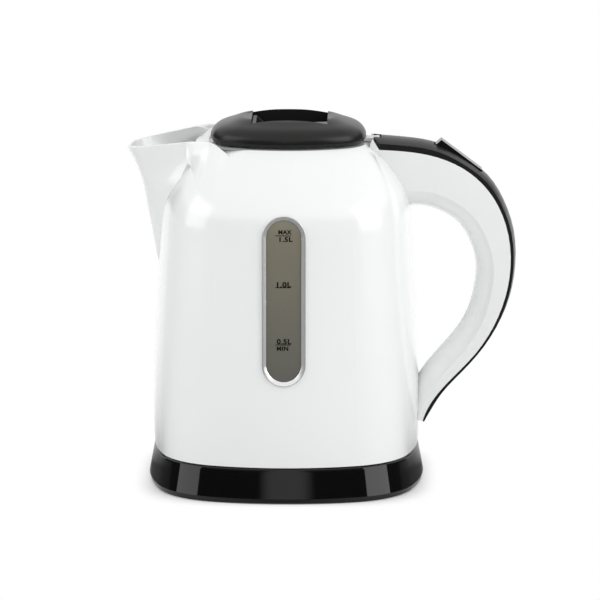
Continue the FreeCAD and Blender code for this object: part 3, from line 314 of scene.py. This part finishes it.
# Along the rim behind the spout's crest: X, distance from the middle, height, in millimetres.
REAR_RIM = [(-54.5, 28.7, 192.9), (-52.0, 29.75, 193.3), (-50.0, 30.7, 193.6), (-47.5, 32.1, 193.9),
            (-44.5, 33.9, 194.1), (-41.5, 35.3, 193.9), (-38.5, 36.4, 192.6), (-35.5, 37.1, 190.6),
            (-32.0, 37.6, 188.0), (-28.0, 38.0, 185.0)]
# Across the wall's top: distance in from its outer face and height above the rim.
RIM_WALL = [(0.0, -0.6), (0.1, -0.25), (0.35, -0.02), (0.9, 0.05), (1.6, 0.0), (2.1, -0.25),
            (2.4, -0.8), (2.5, -3.0)]
REAR_STEPS = 60
# The skirt that blends each wall's outer side into the shoulder, in millimetres.
SKIRT_STEPS = 10
SKIRT_START, SKIRT_FULL = -52.0, -41.0    # X where it starts to open and where it is fully open
SKIRT_LEAST, SKIRT_REACH = 0.4, 15.0      # its reach where it is shut, and what opening adds
SKIRT_SINK = 0.15                         # how far all of it lies below the line worked out for it
SKIRT_DROP = 12.0                         # its depth where it is shut
SKIRT_SHUT = 0.05                         # share of opening up to which it counts as shut
SKIRT_SPREAD, SKIRT_CURVE = 1.5, 1.6      # how its rows crowd, and how it steepens, towards the wall
WALL_STEP = 0.6                           # below the rim, where the skirt joins the wall
WALL_FOOT = 0.3                           # out from the wall, where the shell's height is taken for it
SMOOTH_PASSES = 6
NO_GROUND = 150.0                         # height taken where no shell is met
# The ramp in front of the lid, in millimetres.
SADDLE_LEVEL = 190.05
SADDLE_REACH = 50.3                       # its outer edge about the jug's middle
SADDLE_HALF = 35.0
SADDLE_FLAT = 16.0                        # half width of its level middle
SADDLE_LIP = 4.0                          # depth of its outer edge
SADDLE_LEAST = 0.1                        # its least length from the outer edge to the lid
SADDLE_COLUMNS, SADDLE_ROWS = 60, 10
WALL_THICK = 2.0                          # of the rim's walls, which the ramp rises into
LID_LEVEL, LID_CLEAR = 193.0, 0.9         # height where the lid's side is met, and the gap kept to it
NO_LID = -20.0                            # X taken where no lid is met


def smoothed(share):
    """A share from 0 to 1 that leaves and arrives gently."""
    return share * share * (3 - 2 * share)


def on_rim(x):
    """Distance from the middle and height of the rim at X, past either end that end's."""
    for (x0, y0, z0), (x1, y1, z1) in zip(REAR_RIM, REAR_RIM[1:]):
        if x <= x1:
            share = max(0.0, (x - x0) / (x1 - x0))
            return y0 + (y1 - y0) * share, z0 + (z1 - z0) * share
    return REAR_RIM[-1][1], REAR_RIM[-1][2]


def white_piece(label, spots, faces, smooth=True):
    """A white piece on the jug from points in millimetres."""
    mesh = bpy.data.meshes.new(label)
    mesh.from_pydata([tuple(number * MM for number in spot) for spot in spots], [], faces)
    mesh.materials.append(MATERIALS["white_gloss"])
    if smooth:
        mesh.shade_smooth()
    made = bpy.data.objects.new(label, mesh)
    scene.collection.objects.link(made)
    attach(made, "jug")


def strip_faces(rows, width):
    """Faces of a grid of points listed row by row."""
    return [(row * width + i, row * width + i + 1, (row + 1) * width + i + 1, (row + 1) * width + i)
            for row in range(rows - 1) for i in range(width - 1)]


def settle(rows, columns):
    """Evens out the heights along the rows in the given columns, the two end rows kept."""
    for k in columns:
        heights = [row[k][2] for row in rows]
        for i in range(1, len(rows) - 1):
            x, y, _ = rows[i][k]
            rows[i][k] = (x, y, (heights[i - 1] + 2 * heights[i] + heights[i + 1]) / 4)


def beside_rim(x, out, side):
    """The point at a distance out from the rim's outer face at X, square to it."""
    away = on_rim(x)[0]
    lean = on_rim(x + 0.5)[0] - on_rim(x - 0.5)[0]    # outwards, over one millimetre
    length = math.hypot(1.0, lean)
    return x - out * lean / length, side * (away + out / length)


def rear_rim():
    """The two walls that carry the spout's rim on past its crest and sink it into the collar."""
    first, last = REAR_RIM[0][0], REAR_RIM[-1][0]
    shell = tree_of(nodes["jug_shell"])

    def ground(x, y):
        hit = shell.ray_cast(Vector((x * MM, y * MM, ABOVE)), DOWN)[0]
        return hit.z / MM if hit else NO_GROUND

    for label, side in (("rear_rim_near", -1), ("rear_rim_far", 1)):
        rows = []
        for i in range(REAR_STEPS + 1):
            x = first + (last - first) * i / REAR_STEPS
            top = on_rim(x)[1]
            opened = min(1.0, max(0.0, (x - SKIRT_START) / (SKIRT_FULL - SKIRT_START)))
            reach = SKIRT_LEAST + SKIRT_REACH * opened
            rise = max(0.0, top - WALL_STEP - ground(*beside_rim(x, WALL_FOOT, side)))
            spots = []
            for k in range(SKIRT_STEPS, 0, -1):
                spot = beside_rim(x, reach * (k / SKIRT_STEPS) ** SKIRT_SPREAD, side)
                if opened > SKIRT_SHUT:
                    height = ground(*spot) + rise * (1.0 - k / SKIRT_STEPS) ** SKIRT_CURVE
                else:
                    height = top - SKIRT_DROP
                spots.append((*spot, height - SKIRT_SINK))
            spots += [(*beside_rim(x, -inset, side), top + lift) for inset, lift in RIM_WALL]
            rows.append(spots)
        for _ in range(SMOOTH_PASSES):
            settle(rows, range(SKIRT_STEPS))
        white_piece(label, [spot for row in rows for spot in row],
                    strip_faces(len(rows), len(RIM_WALL) + SKIRT_STEPS))


def saddle():
    """The ramp from the spout's channel up to the lid, rising sideways into the rim."""
    lid_side = tree_of(nodes["lid_cover"])
    spots = []
    for row in range(SADDLE_ROWS + 2):
        for column in range(SADDLE_COLUMNS + 1):
            y = SADDLE_HALF * (2.0 * column / SADDLE_COLUMNS - 1.0)
            start = Vector((SPOUT_SIDE, y * MM, LID_LEVEL * MM))
            hit = lid_side.ray_cast(start, TO_THE_HANDLE)[0]
            inner = (hit.x / MM if hit else NO_LID) - LID_CLEAR
            outer = min(-math.sqrt(SADDLE_REACH ** 2 - y * y), inner - SADDLE_LEAST)
            x = outer + (inner - outer) * max(0, row - 1) / SADDLE_ROWS
            away, top = on_rim(x)
            share = smoothed(min(1.0, max(0.0, (abs(y) - SADDLE_FLAT) / (away - WALL_THICK - SADDLE_FLAT))))
            level = SADDLE_LEVEL + (max(top, SADDLE_LEVEL) - SADDLE_LEVEL) * share
            spots.append((x, y, level - (SADDLE_LIP if row == 0 else 0.0)))
    white_piece("saddle", spots, strip_faces(SADDLE_ROWS + 2, SADDLE_COLUMNS + 1))


# Side view of the cheeks that the strip's nose stands between: X and Z in millimetres.
CHEEK = [(46.2, 186.2), (46.5, 188.6), (46.9, 190.6), (47.3, 191.6), (47.8, 192.1), (48.4, 192.0),
         (49.4, 190.4), (50.6, 188.4), (52.0, 186.3), (53.0, 184.0), (49.0, 184.0)]
CHEEK_INNER, CHEEK_OUTER = 10.4, 13.95


def cheeks():
    """White cheeks of the handle's shell beside the hinge, with a slanted edge against the strip."""
    count = len(CHEEK)
    for label, side in (("nose_cheek_near", -1), ("nose_cheek_far", 1)):
        spots = [(x, side * y, z) for y in (CHEEK_INNER, CHEEK_OUTER) for x, z in CHEEK]
        faces = [tuple(range(count)), tuple(range(2 * count - 1, count - 1, -1))]
        faces += [(i, (i + 1) % count, (i + 1) % count + count, i + count) for i in range(count)]
        white_piece(label, spots, faces, smooth=False)


rear_rim()
saddle()
cheeks()


# ---------------------------------------------------------------- floor, light and camera

FLOOR_REACH = 12.0
FLOOR_COLOUR = (0.93, 0.93, 0.93, 1)
SHADOW_INNER, SHADOW_OUTER = 0.070, 0.086    # the floor turns white between these, about the base
FLOOR_POWER = 4.0                            # makes that edge a rounded square
TABLE_DIM = 0.12                             # how bright the floor in front looks in reflections
BEHIND_FROM, BEHIND_TO = math.radians(110), math.radians(150)    # away from the front, either way
ROOM, ROOM_LOW = 0.93, 0.04                  # brightness of the room, and of its dark part
LOW_DARK, LOW_PALE = 0.24, 0.46              # share of a direction that points up
BACK_DARK, BACK_PALE = 0.80, 0.94            # share of a direction that points to the back
GLOW, GLOW_FACING = 0.8, (0.0, -0.98, 0.18)
GLOW_START, GLOW_FULL = 0.965, 0.992         # how nearly a direction points at the glow
WHITE_LIGHT = (1, 1, 1, 1)
CAMERA_SPOT, CAMERA_AIM = (0.0504, -2.4537, 0.5764), (0.0076, 0, 0.0994)
CAMERA_LENS, CAMERA_WIDTH = 267.9, 36.0      # of the lens and the sensor, in millimetres


def make_floor():
    """A pale floor that keeps the shadow near the object and turns white further out."""
    mesh = bpy.data.meshes.new("floor")
    reach = FLOOR_REACH
    corners = [(-reach, -reach, 0), (reach, -reach, 0), (reach, reach, 0), (-reach, reach, 0)]
    mesh.from_pydata(corners, [], [(0, 1, 2, 3)])
    made = bpy.data.objects.new("floor", mesh)
    scene.collection.objects.link(made)
    paint = bpy.data.materials.new("floor_paint")
    paint.use_nodes = True
    g = Graph(paint.node_tree)
    place = g.add("ShaderNodeTexCoord").outputs["Object"]
    split = g.add("ShaderNodeSeparateXYZ", {0: place})
    sides = [g.math("POWER", g.math("ABSOLUTE", split.outputs[axis]), FLOOR_POWER) for axis in ("X", "Y")]
    away = g.math("POWER", g.math("ADD", *sides), 1 / FLOOR_POWER)
    far = g.remap(away, SHADOW_INNER, SHADOW_OUTER, 0.0, 1.0, smooth=True)
    path = g.add("ShaderNodeLightPath")
    glossy = path.outputs["Is Glossy Ray"]
    seen = g.math("ADD", path.outputs["Is Camera Ray"], glossy, clamp=True)
    seen = g.math("ADD", seen, path.outputs["Is Transmission Ray"], clamp=True)
    matt = g.add("ShaderNodeBsdfDiffuse", {"Color": FLOOR_COLOUR})
    round_to = g.math("ARCTAN2", split.outputs["X"], g.math("MULTIPLY", split.outputs["Y"], -1.0))
    right = g.remap(round_to, BEHIND_FROM, BEHIND_TO, TABLE_DIM, 1.0)
    left = g.remap(round_to, -BEHIND_TO, -BEHIND_FROM, 1.0, TABLE_DIM)
    table = g.math("MAXIMUM", right, left)
    strength = g.math("SUBTRACT", 1.0, g.math("MULTIPLY", glossy, g.math("SUBTRACT", 1.0, table)))
    bright = g.add("ShaderNodeEmission", {"Color": WHITE_LIGHT, "Strength": strength})
    whitened = g.math("MULTIPLY", far, seen)
    mixed = g.add("ShaderNodeMixShader", {0: whitened, 1: matt.outputs[0], 2: bright.outputs[0]})
    out = g.add("ShaderNodeOutputMaterial")
    g.put(out.inputs["Surface"], mixed.outputs[0])
    mesh.materials.append(paint)


def make_world():
    """A pale room, dark low down in front and at the sides, with a dim glow behind the camera."""
    world = bpy.data.worlds.new("room")
    scene.world = world
    world.use_nodes = True
    g = Graph(world.node_tree)
    direction = g.add("ShaderNodeTexCoord").outputs["Generated"]
    split = g.add("ShaderNodeSeparateXYZ", {0: direction})
    low = g.remap(split.outputs["Z"], LOW_DARK, LOW_PALE, 1.0, 0.0, smooth=True)
    off_back = g.remap(split.outputs["Y"], BACK_DARK, BACK_PALE, 1.0, 0.0, smooth=True)
    dark = g.math("MULTIPLY", low, off_back)
    facing = g.add("ShaderNodeVectorMath", {0: direction, 1: GLOW_FACING}, operation="DOT_PRODUCT")
    glow = g.remap(facing.outputs["Value"], GLOW_START, GLOW_FULL, 0.0, 1.0, smooth=True)
    strength = g.math("MAXIMUM", g.remap(dark, 0.0, 1.0, ROOM, ROOM_LOW), g.math("MULTIPLY", glow, GLOW))
    light = g.add("ShaderNodeBackground", {"Color": WHITE_LIGHT, "Strength": strength})
    out = g.add("ShaderNodeOutputWorld")
    g.put(out.inputs["Surface"], light.outputs[0])


def softbox(name, spot, aim, size, power):
    """A soft rectangular light, its width and height in metres and its power in watts."""
    data = bpy.data.lights.new(name, "AREA")
    data.shape = "RECTANGLE"
    data.size, data.size_y = size
    data.energy = power
    made = bpy.data.objects.new(name, data)
    scene.collection.objects.link(made)
    made.location = spot
    made.rotation_euler = (Vector(aim) - Vector(spot)).to_track_quat("-Z", "Y").to_euler()


def make_camera():
    """A long lens in front, about 11 degrees above the horizon and one round to the handle's side."""
    data = bpy.data.cameras.new("camera")
    data.lens = CAMERA_LENS
    data.sensor_width = CAMERA_WIDTH
    made = bpy.data.objects.new("camera", data)
    scene.collection.objects.link(made)
    made.location = CAMERA_SPOT
    made.rotation_euler = (Vector(CAMERA_AIM) - Vector(CAMERA_SPOT)).to_track_quat("-Z", "Y").to_euler()
    scene.camera = made


make_floor()
make_world()
softbox("box_left", spot=(-1.52, -0.50, 0.72), aim=(0, 0, 0.12), size=(1.15, 1.4), power=9.0)
softbox("box_right", spot=(1.45, -0.68, 0.72), aim=(0, 0, 0.12), size=(1.20, 1.4), power=13.0)
make_camera()
scene.view_settings.view_transform = "Standard"
